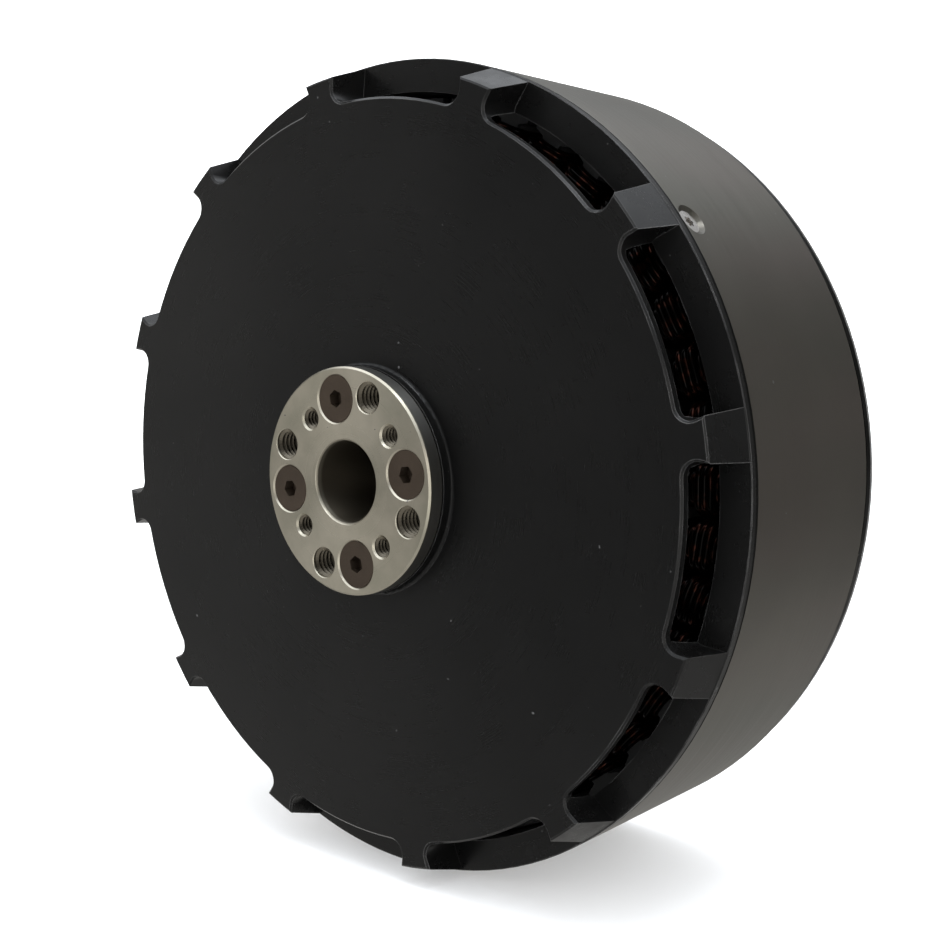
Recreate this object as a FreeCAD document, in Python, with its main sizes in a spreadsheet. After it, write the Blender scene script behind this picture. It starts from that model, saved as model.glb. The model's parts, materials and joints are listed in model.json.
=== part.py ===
"""Large-diameter brushless outrunner motor, modelled in millimetres.

The shaft lies along Y. The rear mounting face is at Y = 0 and the output hub looks
towards -Y. Every sub-part is drawn with Y as its depth behind the front bell's flat
face, and its Placement moves it back so that the mounting face lands on Y = 0.
"""
import FreeCAD
import Part
import Sketcher
import math
import os

from FreeCAD import Placement, Rotation, Vector

# Depths are measured behind the bell's flat front face; negative depths are ahead of it.
SIZES = [
    ("mount_depth", 58.4),        # rear mounting face
    ("rotor_turn", 8.6),          # rest angle of the rotor, counter-clockwise from the front
    ("overrun", 1.0),             # how far a cut reaches beyond the metal
    # front bell
    ("fold_radius", 77.1),        # edge where the flat face meets the bevel
    ("can_radius", 80.0),
    ("rim_depth", 8.6),           # edge where the bevel meets the lip
    ("seam_depth", 10.5),         # joint between the bell's lip and the flux ring
    ("seam_break", 0.2),
    ("fold_break", 0.25),
    ("rim_break", 0.25),
    ("web_depth", 4.0),
    ("web_edge_depth", 1.8),
    ("web_thin_radius", 62.0),
    ("web_ramp", 2.0),
    ("lug_root_radius", 72.6),
    ("spigot_depth", 15.8),
    ("spigot_bore", 73.9),
    ("window_floor", 8.7),
    ("window_radius", 72.0),
    ("window_half_width", 16.2),
    ("window_corner", 2.8),
    ("window_count", 12),
    ("window_reach", 88.0),
    ("window_break", 0.4),
    ("edge_break", 0.5),
    ("boss_radius", 22.2),
    ("boss_rise", 2.2),
    ("boss_fillet", 0.6),
    ("boss_back_radius", 26.0),
    ("boss_back_depth", 6.5),
    # output hub and hollow shaft
    ("hub_radius", 22.0),
    ("hub_rise", 5.8),
    ("hub_chamfer", 0.35),
    ("hub_undercut", 0.3),
    ("hub_hole_count", 4),
    ("bore_radius", 8.0),
    ("shoulder_radius", 14.2),
    ("shaft_radius", 12.5),
    ("shaft_end", 56.0),
    ("hub_screw_circle", 16.0),
    ("hub_screw_shank", 2.5),
    ("hub_screw_head", 4.7),
    ("hub_screw_tip", 5.8),
    ("hub_screw_inset", 0.2),     # how far a screw head lies below its face
    ("hub_screw_socket", 3.0),
    ("hub_screw_socket_depth", 2.2),
    ("hub_screw_gap", 0.3),
    ("shank_clearance", 0.05),
    ("head_break", 0.1),
    ("large_tap_circle", 17.5),
    ("large_tap_radius", 3.0),
    ("large_tap_mouth", 3.15),
    ("large_tap_end", 5.0),
    ("large_tap_turn", 60.0),
    ("small_tap_circle", 15.0),
    ("small_tap_radius", 2.0),
    ("small_tap_mouth", 2.35),
    ("small_tap_end", 3.0),
    ("small_tap_turn", 30.0),
    # flux ring, magnets and their screws
    ("ring_bore", 77.2),
    ("ring_end", 52.6),
    ("ring_end_break", 0.4),
    ("magnet_count", 44),
    ("magnet_bore", 74.2),
    ("magnet_arc", 7.3),
    ("magnet_start", 16.2),
    ("magnet_end", 49.2),
    ("ring_screw_depth", 13.8),
    ("ring_screw_turn", 27.7),
    ("ring_screw_shank", 1.5),
    ("ring_screw_head", 2.5),
    ("ring_screw_sink", 3.15),
    ("ring_screw_tip", 74.3),
    ("ring_screw_inset", 0.6),
    ("ring_screw_star", 1.1),
    ("ring_screw_socket_depth", 1.3),
    ("ring_screw_count", 3),
    # stator core, insulators and coils
    ("tooth_count", 42),
    ("tooth_turn", 1.6),          # a tooth's angle, counter-clockwise from the front
    ("tooth_width", 4.2),
    ("core_bore", 56.0),
    ("core_radius", 73.5),
    ("core_start", 15.5),
    ("core_end", 48.5),
    ("slot_bottom", 60.5),
    ("slot_top", 71.4),
    ("shoe_depth", 72.3),
    ("slot_gap", 2.2),
    ("insulator", 1.0),
    ("winding_runs", 6),
    ("coil_inner_radius", 61.4),
    ("coil_outer_radius", 71.2),
    ("coil_width", 8.8),
    ("coil_window", 4.6),
    ("coil_start", 11.5),
    ("coil_end", 52.5),
    ("coil_clearance", 0.1),
    ("coil_corner", 3.4),
    ("coil_inner_corner", 0.85),
    # bearings
    ("front_bearing", 9.0),
    ("rear_bearing", 42.0),
    ("bearing_width", 9.0),
    ("bearing_radius", 21.0),
    ("inner_race_radius", 15.2),
    ("outer_race_bore", 18.3),
    ("ball_circle", 16.75),
    ("ball_radius", 2.38),
    ("ball_count", 11),
    ("raceway_play", 0.04),
    ("cage_half_wall", 0.55),
    ("cage_half_width", 2.9),
    ("pocket_play", 0.12),
    ("shield_bore", 15.6),
    ("shield_inset", 0.3),
    ("shield_sheet", 0.35),
    ("spacer_radius", 14.6),
    ("shim_sheet", 1.0),
    ("clip_sheet", 1.2),
    ("clip_radius", 15.0),
    ("clip_groove", 11.9),
    ("clip_play", 0.1),
    ("clip_arc", 318.0),
    ("housing_clip_bore", 18.6),
    ("housing_groove", 22.2),
    ("preload_sheet", 0.8),
    # stator frame
    ("tube_radius", 26.0),
    ("tube_bore", 19.0),
    ("tube_head_radius", 29.0),
    ("tube_head_end", 13.0),
    ("tube_head_taper", 3.0),
    ("frame_web_start", 28.0),
    ("frame_web_end", 35.0),
    ("frame_rim_bore", 52.0),
    ("frame_rim_start", 16.0),
    ("frame_rim_end", 48.0),
    ("foot_radius", 36.0),
    ("foot_start", 47.0),
    ("foot_neck_radius", 27.0),
    ("foot_flare", 4.0),
    ("frame_window_inner", 31.0),
    ("frame_window_outer", 46.0),
    ("frame_window_arc", 44.0),
    ("spoke_count", 6),
    ("retainer_start", 7.3),
    ("retainer_bore", 17.8),
    ("retainer_screw_circle", 25.0),
    ("retainer_screw_shank", 1.25),
    ("retainer_screw_head", 2.4),
    ("retainer_screw_tip", 14.5),
    ("retainer_screw_count", 4),
    ("retainer_screw_socket", 1.5),
    ("retainer_screw_socket_depth", 0.9),
    ("retainer_screw_inset", 0.1),
    ("tap_runout", 0.5),
    # base plate
    ("base_start", 53.9),
    ("base_rim_end", 57.0),
    ("base_radius", 79.2),
    ("base_chamfer", 0.4),
    ("base_bore", 16.5),
    ("pad_radius", 48.0),
    ("rib_start", 50.0),
    ("rib_inner", 36.4),
    ("rib_outer", 44.5),
    ("rib_taper", 2.0),
    ("mount_circle", 40.0),
    ("mount_hole", 3.0),
    ("mount_mouth", 3.3),
    ("mount_count", 8),
    ("mount_turn", 22.5),
    ("base_screw_circle", 30.5),
    ("base_screw_shank", 2.0),
    ("base_screw_head", 3.75),
    ("base_screw_tip", 48.4),
    ("base_screw_count", 6),
    ("base_screw_socket", 2.5),
    ("base_screw_socket_depth", 1.6),
    ("base_screw_inset", 0.1),
    ("vent_circle", 64.0),
    ("vent_half_width", 4.5),
    ("vent_half_length", 8.0),
    ("vent_count", 12),
    ("grommet_turn", 270.0),
    ("grommet_lip", 1.6),
    ("grommet_lip_sheet", 1.2),
    ("lead_radius", 2.6),
    ("lead_pitch", 7.2),
]

SKETCH_START = 10.0     # where a new outline's points lie before they are bound
EDGE_MATCH = 0.01       # how closely an edge must match the place it is looked for
STAR_CORE = 0.72        # shares of a six-lobed recess's radius
STAR_CIRCLE = 0.75
STAR_LOBE = 0.25
STAR_LOBES = 6

doc = FreeCAD.newDocument("outrunner_motor")
nodes = []


def make_sheet():
    sheet = doc.addObject("Spreadsheet::Sheet", "size")
    for row, (alias, number) in enumerate(SIZES, start=1):
        sheet.set(f"A{row}", alias)
        sheet.set(f"B{row}", str(number))
        sheet.setAlias(f"B{row}", alias)
    doc.recompute()
    return sheet


sheet = make_sheet()


def size(alias):
    return float(sheet.get(alias))


# ---- placing ----------------------------------------------------------------------

def turn(angle):
    """A rotation counter-clockwise as seen from the front."""
    return Rotation(Vector(0, -1, 0), angle)


def finish(part, label, angle=0.0):
    """Name a sub-part and move it from its own frame into the motor's."""
    part.Label = label
    part.Placement = Placement(Vector(0, -size("mount_depth"), 0), turn(angle))
    nodes.append(part)


# ---- sketches and features --------------------------------------------------------

def origin_feature(body, role):
    return next(item for item in body.Origin.OriginFeatures if item.Role == role)


def new_sketch(body, role, name):
    sketch = body.newObject("Sketcher::SketchObject", name)
    sketch.AttachmentSupport = (origin_feature(body, role), [""])
    sketch.MapMode = "FlatFace"
    return sketch


def bind(sketch, kind, places, expression):
    index = sketch.addConstraint(Sketcher.Constraint(kind, *places, 1.0))
    sketch.setExpression(f"Constraints[{index}]", expression)


def pin_point(sketch, geometry, end, point):
    """Hold one end of a line at (x, y), both expressions of the sheet."""
    bind(sketch, "DistanceX", (-1, 1, geometry, end), point[0])
    bind(sketch, "DistanceY", (-1, 1, geometry, end), point[1])


def draw_polygon(sketch, corners):
    """Draw a closed outline of straight lines through the corners."""
    count = len(corners)
    start = [Rotation(Vector(0, 0, 1), 360.0 * k / count).multVec(Vector(SKETCH_START, 0, 0))
             for k in range(count)]
    lines = [sketch.addGeometry(Part.LineSegment(start[k], start[(k + 1) % count]))
             for k in range(count)]
    for k, line in enumerate(lines):
        following = lines[(k + 1) % count]
        sketch.addConstraint(Sketcher.Constraint("Coincident", line, 2, following, 1))
        pin_point(sketch, line, 1, corners[k])


def draw_axis(sketch, start, end):
    line = sketch.addGeometry(Part.LineSegment(Vector(0, 0, 0), Vector(1, 1, 0)), True)
    pin_point(sketch, line, 1, start)
    pin_point(sketch, line, 2, end)


def draw_stadium(sketch, centre, half_width, half_length):
    """Draw a slot with round ends, long in the sketch's y, centred at x = centre."""
    mid, wide, long = size(centre), size(half_width), size(half_length)
    right = sketch.addGeometry(Part.LineSegment(Vector(mid + wide, -long, 0),
                                                Vector(mid + wide, long, 0)))
    top = sketch.addGeometry(Part.ArcOfCircle(
        Part.Circle(Vector(mid, long, 0), Vector(0, 0, 1), wide), 0, math.pi))
    left = sketch.addGeometry(Part.LineSegment(Vector(mid - wide, long, 0),
                                               Vector(mid - wide, -long, 0)))
    bottom = sketch.addGeometry(Part.ArcOfCircle(
        Part.Circle(Vector(mid, -long, 0), Vector(0, 0, 1), wide), math.pi, 2 * math.pi))
    for first, first_end, second, second_end in ((right, 2, top, 1), (top, 2, left, 1),
                                                 (left, 2, bottom, 1), (bottom, 2, right, 1)):
        sketch.addConstraint(Sketcher.Constraint("Tangent", first, first_end,
                                                 second, second_end))
    for arc, place in ((top, f"size.{half_length}"), (bottom, f"-size.{half_length}")):
        bind(sketch, "Radius", (arc,), f"size.{half_width}")
        pin_point(sketch, arc, 3, (f"size.{centre}", place))


def draw_bell_window(sketch, grow="0"):
    """Draw one cooling window: an arc inside, two parallel sides, round inner corners.

    grow is a length of the sheet by which the outline is offset outwards.
    """
    inner = size("window_radius")
    corner = size("window_corner")
    half = size("window_half_width")
    outside = size("window_reach")
    centre_y = half - corner
    centre_x = math.sqrt((inner + corner) ** 2 - centre_y ** 2)
    lean = math.atan2(centre_y, centre_x)
    up = Vector(0, 0, 1)
    arc = sketch.addGeometry(Part.ArcOfCircle(
        Part.Circle(Vector(0, 0, 0), up, inner), -lean, lean))
    top = sketch.addGeometry(Part.ArcOfCircle(
        Part.Circle(Vector(centre_x, centre_y, 0), up, corner), math.pi / 2, math.pi + lean))
    upper = sketch.addGeometry(Part.LineSegment(Vector(centre_x, half, 0),
                                                Vector(outside, half, 0)))
    close = sketch.addGeometry(Part.LineSegment(Vector(outside, half, 0),
                                                Vector(outside, -half, 0)))
    lower = sketch.addGeometry(Part.LineSegment(Vector(outside, -half, 0),
                                                Vector(centre_x, -half, 0)))
    bottom = sketch.addGeometry(Part.ArcOfCircle(
        Part.Circle(Vector(centre_x, -centre_y, 0), up, corner),
        math.pi - lean, 3 * math.pi / 2))
    for first, first_end, second, second_end in ((arc, 2, top, 2), (top, 1, upper, 1),
                                                 (lower, 2, bottom, 2), (bottom, 1, arc, 1)):
        sketch.addConstraint(Sketcher.Constraint("Tangent", first, first_end,
                                                 second, second_end))
    sketch.addConstraint(Sketcher.Constraint("Coincident", upper, 2, close, 1))
    sketch.addConstraint(Sketcher.Constraint("Coincident", close, 2, lower, 1))
    sketch.addConstraint(Sketcher.Constraint("Coincident", arc, 3, -1, 1))
    sketch.addConstraint(Sketcher.Constraint("Horizontal", upper))
    sketch.addConstraint(Sketcher.Constraint("Horizontal", lower))
    sketch.addConstraint(Sketcher.Constraint("Vertical", close))
    bind(sketch, "Radius", (arc,), f"size.window_radius - {grow}")
    bind(sketch, "Radius", (top,), f"size.window_corner + {grow}")
    bind(sketch, "Radius", (bottom,), f"size.window_corner + {grow}")
    bind(sketch, "DistanceX", (-1, 1, close, 1), "size.window_reach")
    bind(sketch, "DistanceY", (-1, 1, close, 1), f"size.window_half_width + {grow}")
    bind(sketch, "DistanceY", (close, 2, -1, 1), f"size.window_half_width + {grow}")


def new_body(name):
    return doc.addObject("PartDesign::Body", name)


def revolve(body, name, corners, arc=None):
    """Turn an outline of (radius, depth) corners about the shaft axis."""
    sketch = new_sketch(body, "XY_Plane", f"{name}_outline")
    draw_polygon(sketch, corners)
    feature = body.newObject("PartDesign::Revolution", name)
    feature.Profile = sketch
    feature.ReferenceAxis = (sketch, ["V_Axis"])
    feature.Angle = 360
    if arc:
        feature.Midplane = True
        feature.setExpression("Angle", arc)
    return feature


def tube(body, name, inner, outer, start, end):
    return revolve(body, name, [(inner, start), (outer, start), (outer, end), (inner, end)])


def repeat(body, name, feature, count):
    """Repeat a cut at equal angles round the shaft axis."""
    pattern = body.newObject("PartDesign::PolarPattern", name)
    pattern.Originals = [feature]
    pattern.Axis = (origin_feature(body, "Y_Axis"), [""])
    pattern.Angle = 360
    pattern.setExpression("Occurrences", count)
    body.Tip = pattern
    return pattern


def turned_cut(body, name, corners, axis, count, angle=0.0):
    """Cut round shapes whose half outline is turned about an axis, at equal angles."""
    sketch = new_sketch(body, "XY_Plane", f"{name}_outline")
    sketch.AttachmentOffset = Placement(Vector(0, 0, 0), turn(angle))
    draw_polygon(sketch, corners)
    draw_axis(sketch, *axis)
    feature = body.newObject("PartDesign::Groove", f"{name}_one")
    feature.Profile = sketch
    feature.ReferenceAxis = (sketch, ["Axis0"])
    feature.Angle = 360
    return repeat(body, name, feature, count)


def drill(body, name, circle, outline, count, angle=0.0):
    """Drill holes parallel to the shaft: outline is (hole radius, depth) corners."""
    corners = [(f"{circle} + {radius}", depth) for radius, depth in outline]
    start, end = outline[0][1], outline[-1][1]
    corners = [(circle, start)] + corners + [(circle, end)]
    return turned_cut(body, name, corners, ((circle, start), (circle, end)), count, angle)


def sketch_across(body, name, depth, angle):
    """A sketch square to the shaft, at a depth and turned by an angle."""
    sketch = new_sketch(body, "XZ_Plane", name)
    sketch.AttachmentOffset = Placement(Vector(0, 0, 0), Rotation(Vector(0, 0, 1), angle))
    sketch.setExpression("AttachmentOffset.Base.z", f"-({depth})")
    return sketch


def through_cut(body, name, draw, start, end, count, angle=0.0):
    """Cut a drawn outline from one depth to another, at equal angles."""
    sketch = sketch_across(body, f"{name}_outline", start, angle)
    draw(sketch)
    feature = body.newObject("PartDesign::Pocket", f"{name}_one")
    feature.Profile = sketch
    feature.setExpression("Length", f"({end}) - ({start})")
    return repeat(body, name, feature, count)


def window_chamfers(body, angle):
    """Break the edges of the cooling windows where they open on the flat face."""
    wide = sketch_across(body, "window_chamfer_mouth", "0", angle)
    draw_bell_window(wide, "size.window_break")
    narrow = sketch_across(body, "window_chamfer_root", "size.window_break", angle)
    draw_bell_window(narrow)
    feature = body.newObject("PartDesign::SubtractiveLoft", "window_chamfer_one")
    feature.Profile = wide
    feature.Sections = [narrow]
    feature.Ruled = True
    repeat(body, "window_chamfers", feature, "size.window_count")


def round_edge(body, name, radius, edge_radius, depth):
    """Fillet the circular edge found at a radius and a depth."""
    doc.recompute()
    previous = body.Tip
    names = [f"Edge{index}" for index, edge in enumerate(previous.Shape.Edges, start=1)
             if hasattr(edge.Curve, "Radius")
             and abs(edge.Curve.Radius - size(edge_radius)) < EDGE_MATCH
             and abs(edge.BoundBox.YMin - depth) < EDGE_MATCH
             and edge.BoundBox.YLength < EDGE_MATCH]
    feature = body.newObject("PartDesign::Fillet", name)
    feature.Base = (previous, names)
    feature.setExpression("Radius", radius)
    body.Tip = feature
    return feature


# ---- groups of identical solids ---------------------------------------------------

def turned_solid(corners):
    """A solid turned about the Y axis from (radius, depth) corners."""
    points = [Vector(radius, depth, 0) for radius, depth in corners]
    face = Part.Face(Part.makePolygon(points + points[:1]))
    return face.revolve(Vector(0, 0, 0), Vector(0, 1, 0), 360)


def group(label, solids, angle=0.0):
    """Put separate solids that share one node into the document."""
    feature = doc.addObject("Part::Feature", label)
    feature.Shape = Part.makeCompound(solids)
    finish(feature, label, angle)


def ring_of(solid, count, angle=0.0):
    """Copies of a solid at equal angles round the shaft axis."""
    copies = []
    for index in range(count):
        copy = solid.copy()
        copy.rotate(Vector(0, 0, 0), Vector(0, -1, 0), angle + 360.0 * index / count)
        copies.append(copy)
    return copies


def hexagon_tool(across_flats, start, end):
    corner = across_flats / math.sqrt(3)
    points = [Vector(corner * math.cos(k * math.pi / 3), start, corner * math.sin(k * math.pi / 3))
              for k in range(6)]
    face = Part.Face(Part.makePolygon(points + points[:1]))
    return face.extrude(Vector(0, end - start, 0))


def star_tool(radius, start, end):
    """A six-lobed drive recess."""
    along = Vector(0, 1, 0)
    recess = Part.makeCylinder(STAR_CORE * radius, end - start, Vector(0, start, 0), along)
    for k in range(STAR_LOBES):
        place = turn(360.0 * k / STAR_LOBES).multVec(Vector(STAR_CIRCLE * radius, start, 0))
        recess = recess.fuse(Part.makeCylinder(STAR_LOBE * radius, end - start, place, along))
    return recess


def sunk_hole(name, face, back, side="+"):
    """Outline of a screw's hole with its countersink; side is the way in from the face."""
    wall = f"size.{name}_shank + size.shank_clearance"
    mouth = f"size.{name}_head + size.{name}_inset"
    away = "-" if side == "+" else "+"
    return [(f"{mouth} + size.overrun", f"{face} {away} size.overrun"),
            (wall, f"{face} {side} ({mouth} - ({wall}))"),
            (wall, back)]


def sunk_screw(name, head_top, tip, recess):
    """A countersunk screw about the Y axis, its head at depth head_top."""
    head = size(f"{name}_head")
    shank = size(f"{name}_shank")
    edge = size("head_break")
    side = 1 if tip > head_top else -1
    body = turned_solid([(0, head_top), (head - 2 * edge, head_top),
                         (head - edge, head_top + side * edge),
                         (shank, head_top + side * (head - shank)), (shank, tip), (0, tip)])
    return body.cut(recess)


# ---- rotor ------------------------------------------------------------------------

def front_bell():
    body = new_body("bell_body")
    revolve(body, "bell_blank", [
        ("size.shaft_radius", "-size.boss_rise"),
        ("size.boss_radius", "-size.boss_rise"),
        ("size.boss_radius", "0"),
        ("size.fold_radius - size.fold_break", "0"),
        ("size.fold_radius + size.fold_break * (size.can_radius - size.rim_break"
         " - size.fold_radius) / size.rim_depth", "size.fold_break"),
        ("size.can_radius - size.rim_break", "size.rim_depth"),
        ("size.can_radius", "size.rim_depth + size.rim_break"),
        ("size.can_radius", "size.seam_depth - size.seam_break"),
        ("size.can_radius - size.seam_break", "size.seam_depth"),
        ("size.ring_bore", "size.seam_depth"),
        ("size.ring_bore", "size.spigot_depth"),
        ("size.spigot_bore", "size.spigot_depth"),
        ("size.spigot_bore", "size.window_floor"),
        ("size.lug_root_radius", "size.web_edge_depth"),
        ("size.web_thin_radius", "size.web_edge_depth"),
        ("size.web_thin_radius - size.web_ramp", "size.web_depth"),
        ("size.boss_back_radius", "size.web_depth"),
        ("size.boss_back_radius", "size.boss_back_depth"),
        ("size.shaft_radius", "size.boss_back_depth"),
    ])
    round_edge(body, "boss_fillet", "size.boss_fillet", "boss_radius", 0.0)
    between = 180.0 / size("window_count")
    through_cut(body, "windows", draw_bell_window, "-size.overrun", "size.window_floor",
                "size.window_count", between)
    window_chamfers(body, between)
    top = "-size.boss_rise - size.overrun"
    drill(body, "hub_screw_holes", "size.hub_screw_circle",
          [("size.hub_screw_shank", top), ("size.hub_screw_shank", "size.hub_screw_tip")],
          "size.hub_hole_count")
    for name in ("large_tap", "small_tap"):
        drill(body, f"{name}_holes", f"size.{name}_circle",
              [(f"size.{name}_radius", top), (f"size.{name}_radius", f"size.{name}_end")],
              "size.hub_hole_count", size(f"{name}_turn"))
    inside = "size.spigot_bore - size.overrun"
    outside = "size.ring_bore + size.overrun"
    middle = "size.ring_screw_depth"
    edge = "size.ring_screw_depth + size.ring_screw_shank"
    turned_cut(body, "ring_screw_holes",
               [(inside, middle), (outside, middle), (outside, edge), (inside, edge)],
               ((inside, middle), (outside, middle)), "size.ring_screw_count",
               size("ring_screw_turn"))
    finish(body, "front_bell", size("rotor_turn"))


def flux_ring():
    body = new_body("ring_body")
    revolve(body, "ring_blank", [
        ("size.ring_bore", "size.seam_depth"),
        ("size.can_radius - size.seam_break", "size.seam_depth"),
        ("size.can_radius", "size.seam_depth + size.seam_break"),
        ("size.can_radius", "size.ring_end - size.ring_end_break"),
        ("size.can_radius - size.ring_end_break", "size.ring_end"),
        ("size.ring_bore", "size.ring_end"),
    ])
    middle = "size.ring_screw_depth"
    inside = "size.ring_bore - size.overrun"
    outside = "size.can_radius + size.overrun"
    turned_cut(body, "ring_screw_sinks", [
        (inside, middle),
        (outside, middle),
        (outside, "size.ring_screw_depth + size.ring_screw_sink + size.overrun"),
        ("size.can_radius - size.ring_screw_sink + size.ring_screw_shank",
         "size.ring_screw_depth + size.ring_screw_shank"),
        (inside, "size.ring_screw_depth + size.ring_screw_shank"),
    ], ((inside, middle), (outside, middle)), "size.ring_screw_count", size("ring_screw_turn"))
    finish(body, "flux_ring", size("rotor_turn"))


def magnets():
    inner, outer = size("magnet_bore"), size("ring_bore")
    start, end = size("magnet_start"), size("magnet_end")
    points = [Vector(inner, start, 0), Vector(outer, start, 0),
              Vector(outer, end, 0), Vector(inner, end, 0)]
    face = Part.Face(Part.makePolygon(points + points[:1]))
    block = face.revolve(Vector(0, 0, 0), Vector(0, 1, 0), size("magnet_arc"))
    group("magnets", ring_of(block, int(size("magnet_count"))), size("rotor_turn"))


def output_hub():
    body = new_body("hub_body")
    groove_start = "size.rear_bearing + size.bearing_width + size.shim_sheet"
    groove_end = f"{groove_start} + size.clip_sheet + size.clip_play"
    revolve(body, "hub_blank", [
        ("size.bore_radius", "-size.hub_rise + size.hub_chamfer"),
        ("size.bore_radius + size.hub_chamfer", "-size.hub_rise"),
        ("size.hub_radius - size.hub_chamfer", "-size.hub_rise"),
        ("size.hub_radius", "-size.hub_rise + size.hub_chamfer"),
        ("size.hub_radius", "-size.boss_rise - size.hub_undercut"),
        ("size.hub_radius - size.hub_undercut", "-size.boss_rise - size.hub_undercut"),
        ("size.hub_radius - size.hub_undercut", "-size.boss_rise"),
        ("size.shaft_radius", "-size.boss_rise"),
        ("size.shaft_radius", groove_start),
        ("size.clip_groove", groove_start),
        ("size.clip_groove", groove_end),
        ("size.shaft_radius", groove_end),
        ("size.shaft_radius", "size.shaft_end - size.edge_break"),
        ("size.shaft_radius - size.edge_break", "size.shaft_end"),
        ("size.bore_radius + size.hub_chamfer", "size.shaft_end"),
        ("size.bore_radius", "size.shaft_end - size.hub_chamfer"),
    ])
    below = "-size.boss_rise + size.overrun"
    drill(body, "screw_sinks", "size.hub_screw_circle",
          sunk_hole("hub_screw", "-size.hub_rise", below), "size.hub_hole_count")
    for name in ("large_tap", "small_tap"):
        drill(body, f"{name}_holes_hub", f"size.{name}_circle",
              [(f"size.{name}_mouth + size.overrun", "-size.hub_rise - size.overrun"),
               (f"size.{name}_radius",
                f"-size.hub_rise + size.{name}_mouth - size.{name}_radius"),
               (f"size.{name}_radius", below)], "size.hub_hole_count", size(f"{name}_turn"))
    finish(body, "output_hub", size("rotor_turn"))


def hub_screws():
    top = -size("hub_rise") + size("hub_screw_inset")
    recess = hexagon_tool(size("hub_screw_socket"), top - size("overrun"),
                          top + size("hub_screw_socket_depth"))
    tip = size("hub_screw_tip") - size("hub_screw_gap")
    screw = sunk_screw("hub_screw", top, tip, recess)
    screw.translate(Vector(size("hub_screw_circle"), 0, 0))
    group("hub_screws", ring_of(screw, int(size("hub_hole_count"))), size("rotor_turn"))


def ring_screws():
    top = size("can_radius") - size("ring_screw_inset")
    recess = star_tool(size("ring_screw_star"), top - size("ring_screw_socket_depth"),
                       top + size("overrun"))
    screw = sunk_screw("ring_screw", top, size("ring_screw_tip"), recess)
    screw.rotate(Vector(0, 0, 0), Vector(0, 0, 1), -90)
    screw.translate(Vector(0, size("ring_screw_depth"), 0))
    screws = ring_of(screw, int(size("ring_screw_count")), size("ring_screw_turn"))
    group("ring_screws", screws, size("rotor_turn"))


def shaft_rings():
    front = new_body("front_spacer_body")
    tube(front, "front_spacer_tube", "size.shaft_radius", "size.shoulder_radius",
         "size.boss_back_depth", "size.front_bearing")
    finish(front, "front_spacer", size("rotor_turn"))
    front_end = "size.front_bearing + size.bearing_width"
    rear_end = "size.rear_bearing + size.bearing_width"
    spacer = new_body("spacer_body")
    tube(spacer, "spacer_tube", "size.shaft_radius", "size.spacer_radius", front_end,
         "size.rear_bearing")
    finish(spacer, "bearing_spacer", size("rotor_turn"))
    shim = new_body("shim_body")
    tube(shim, "shim_tube", "size.shaft_radius", "size.spacer_radius", rear_end,
         f"{rear_end} + size.shim_sheet")
    finish(shim, "shaft_shim", size("rotor_turn"))
    clip = new_body("clip_body")
    start = f"{rear_end} + size.shim_sheet"
    end = f"{start} + size.clip_sheet"
    revolve(clip, "clip_ring", [("size.clip_groove", start), ("size.clip_radius", start),
                                ("size.clip_radius", end), ("size.clip_groove", end)],
            "size.clip_arc")
    finish(clip, "shaft_circlip", size("rotor_turn"))


# ---- bearings ---------------------------------------------------------------------

def race(label, angle, inner, outer, side):
    """A bearing ring with its ball groove."""
    body = new_body(f"{label}_body")
    start = f"size.{side}_bearing"
    tube(body, f"{label}_tube", inner, outer, start, f"{start} + size.bearing_width")
    sketch = new_sketch(body, "XY_Plane", f"{label}_groove_outline")
    middle_depth = size(f"{side}_bearing") + size("bearing_width") / 2
    circle = sketch.addGeometry(Part.Circle(Vector(size("ball_circle"), middle_depth, 0),
                                            Vector(0, 0, 1), size("ball_radius")))
    bind(sketch, "Radius", (circle,), "size.ball_radius + size.raceway_play")
    bind(sketch, "DistanceX", (-1, 1, circle, 3), "size.ball_circle")
    bind(sketch, "DistanceY", (-1, 1, circle, 3), f"{start} + size.bearing_width / 2")
    groove = body.newObject("PartDesign::Groove", f"{label}_groove")
    groove.Profile = sketch
    groove.ReferenceAxis = (sketch, ["V_Axis"])
    groove.Angle = 360
    body.Tip = groove
    finish(body, label, angle)


def ball_set(side):
    """The balls of one bearing, and the cage that spaces them."""
    middle = size(f"{side}_bearing") + size("bearing_width") / 2
    centre = Vector(size("ball_circle"), middle, 0)
    count = int(size("ball_count"))
    group(f"{side}_balls", ring_of(Part.makeSphere(size("ball_radius"), centre), count))
    body = new_body(f"{side}_cage_body")
    inner = "size.ball_circle - size.cage_half_wall"
    outer = "size.ball_circle + size.cage_half_wall"
    centre_depth = f"size.{side}_bearing + size.bearing_width / 2"
    tube(body, f"{side}_cage_ring", inner, outer, f"{centre_depth} - size.cage_half_width",
         f"{centre_depth} + size.cage_half_width")
    reach = "size.ball_radius + size.pocket_play"
    low, high = f"{inner} - size.overrun", f"{outer} + size.overrun"
    edge = f"{centre_depth} + {reach}"
    turned_cut(body, f"{side}_cage_pockets",
               [(low, centre_depth), (high, centre_depth), (high, edge), (low, edge)],
               ((low, centre_depth), (high, centre_depth)), "size.ball_count")
    finish(body, f"{side}_cage")


def shields(side):
    """The two sheet-metal shields held in one bearing's outer ring."""
    solids = []
    start = size(f"{side}_bearing") + size("shield_inset")
    end = size(f"{side}_bearing") + size("bearing_width") - size("shield_inset")
    for front in (start, end - size("shield_sheet")):
        back = front + size("shield_sheet")
        solids.append(turned_solid([(size("shield_bore"), front), (size("outer_race_bore"), front),
                                    (size("outer_race_bore"), back), (size("shield_bore"), back)]))
    group(f"{side}_shields", solids)


def bearings():
    for side in ("front", "rear"):
        race(f"{side}_inner_race", size("rotor_turn"), "size.shaft_radius",
             "size.inner_race_radius", side)
        race(f"{side}_outer_race", 0.0, "size.outer_race_bore", "size.bearing_radius", side)
        ball_set(side)
        shields(side)


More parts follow.
